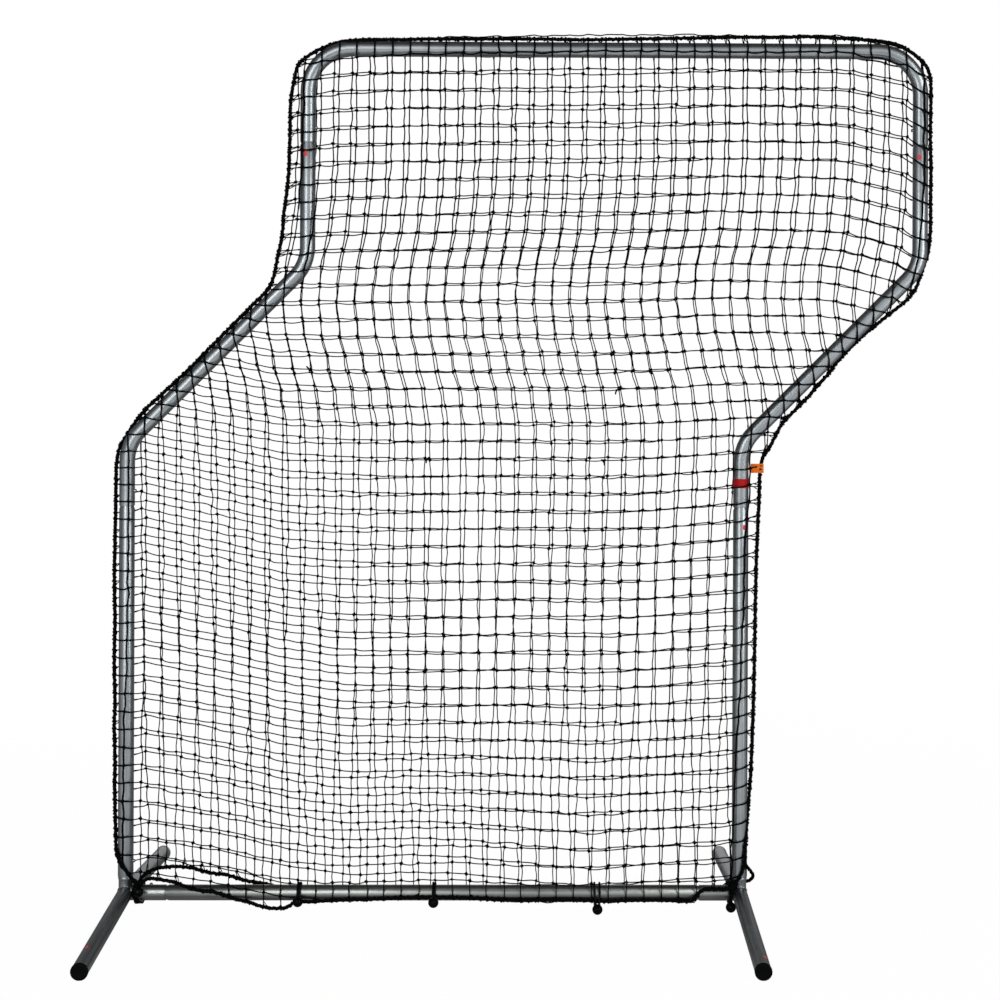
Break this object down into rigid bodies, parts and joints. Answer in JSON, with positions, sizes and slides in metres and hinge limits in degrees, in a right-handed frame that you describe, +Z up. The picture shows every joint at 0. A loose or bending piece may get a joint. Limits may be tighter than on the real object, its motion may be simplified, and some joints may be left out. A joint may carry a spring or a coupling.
{
  "type": "baseball field screen",
  "caption": "Z-shaped free-standing field screen: a round steel tube frame on two foot tubes, with a black net slipped over it, roped at its edge and tied to the crossbar.",
  "frame": {"origin": "on the floor, in the middle of the overall box", "axes": "+Z up; +X to the right as seen from the front, the side to which the upper half is offset; +Y from the front to the back, along the foot tubes"},
  "size_m": [2.0374, 0.9242, 2.1803],
  "materials": {
    "foot_steel": "satin, darker where it is handled",
    "tube_steel": "satin galvanised",
    "button_steel": "bright",
    "spring_steel": "bright",
    "cap_rubber": "matt",
    "cap_rubber_grey": "matt",
    "net_cord": "knotted twine, matt",
    "rope": "braided, matt",
    "lashing_cord": "braided, matt",
    "tie_cord": "elastic cord in a woven sleeve",
    "tie_ball": "gloss",
    "tape": "satin",
    "tag_cloth": "matt"
  },
  "bodies": {
    "frame": {"foot_tube_left": "foot_steel", "base_spigot_left": "tube_steel", "crossbar_socket_left": "tube_steel", "lower_post_left": "tube_steel", "side_bend_left": "tube_steel", "end_cap_front_left": "cap_rubber", "end_cap_rear_left": "cap_rubber_grey", "corner_lashing_left": "lashing_cord", "foot_tube_right": "foot_steel", "base_spigot_right": "tube_steel", "crossbar_socket_right": "tube_steel", "lower_post_right": "tube_steel", "side_bend_right": "tube_steel", "end_cap_front_right": "cap_rubber", "end_cap_rear_right": "cap_rubber_grey", "corner_lashing_right": "lashing_cord", "top_arch": "tube_steel", "crossbar": "tube_steel", "net_front_lower": "net_cord", "net_front_slanted": "net_cord", "net_front_upper": "net_cord", "net_back_lower": "net_cord", "net_back_slanted": "net_cord", "net_back_upper": "net_cord", "border_rope": "rope", "hem_rope_front": "rope", "hem_rope_back": "rope", "tie_ball_1": "tie_ball", "tie_loop_1": "tie_cord", "tie_ball_2": "tie_ball", "tie_loop_2": "tie_cord", "tie_ball_3": "tie_ball", "tie_loop_3": "tie_cord", "tie_ball_4": "tie_ball", "tie_loop_4": "tie_cord", "tie_ball_5": "tie_ball", "tie_loop_5": "tie_cord", "tape_band": "tape", "net_tag": "tag_cloth", "button_spring_base_left": "spring_steel", "button_spring_base_right": "spring_steel", "button_spring_elbow_left": "spring_steel", "button_spring_elbow_right": "spring_steel", "button_spring_top_left": "spring_steel", "button_spring_top_right": "spring_steel", "button_spring_bar_left": "spring_steel", "button_spring_bar_right": "spring_steel"},
    "button_base_left": {"snap_button_base_left": "button_steel"},
    "button_base_right": {"snap_button_base_right": "button_steel"},
    "button_elbow_left": {"snap_button_elbow_left": "button_steel"},
    "button_elbow_right": {"snap_button_elbow_right": "button_steel"},
    "button_top_left": {"snap_button_top_left": "button_steel"},
    "button_top_right": {"snap_button_top_right": "button_steel"},
    "button_bar_left": {"snap_button_bar_left": "button_steel"},
    "button_bar_right": {"snap_button_bar_right": "button_steel"}
  },
  "joints": [
    {"name": "press_base_left", "type": "slide", "parent": "frame", "child": "button_base_left", "axis": [-1, 0, 0], "range_m": [0, 0.0068], "stiffness_N_per_m": 3000, "deforming": ["button_spring_base_left"]},
    {"name": "press_base_right", "type": "slide", "parent": "frame", "child": "button_base_right", "axis": [1, 0, 0], "range_m": [0, 0.0068], "stiffness_N_per_m": 3000, "deforming": ["button_spring_base_right"]},
    {"name": "press_elbow_left", "type": "slide", "parent": "frame", "child": "button_elbow_left", "axis": [-1, 0, 0], "range_m": [0, 0.0068], "stiffness_N_per_m": 3000, "deforming": ["button_spring_elbow_left"]},
    {"name": "press_elbow_right", "type": "slide", "parent": "frame", "child": "button_elbow_right", "axis": [1, 0, 0], "range_m": [0, 0.0068], "stiffness_N_per_m": 3000, "deforming": ["button_spring_elbow_right"]},
    {"name": "press_top_left", "type": "slide", "parent": "frame", "child": "button_top_left", "axis": [-1, 0, 0], "range_m": [0, 0.0068], "stiffness_N_per_m": 3000, "deforming": ["button_spring_top_left"]},
    {"name": "press_top_right", "type": "slide", "parent": "frame", "child": "button_top_right", "axis": [1, 0, 0], "range_m": [0, 0.0068], "stiffness_N_per_m": 3000, "deforming": ["button_spring_top_right"]},
    {"name": "press_bar_left", "type": "slide", "parent": "frame", "child": "button_bar_left", "axis": [0, 0, -1], "range_m": [0, 0.0068], "stiffness_N_per_m": 3000, "deforming": ["button_spring_bar_left"]},
    {"name": "press_bar_right", "type": "slide", "parent": "frame", "child": "button_bar_right", "axis": [0, 0, -1], "range_m": [0, 0.0068], "stiffness_N_per_m": 3000, "deforming": ["button_spring_bar_right"]}
  ]
}
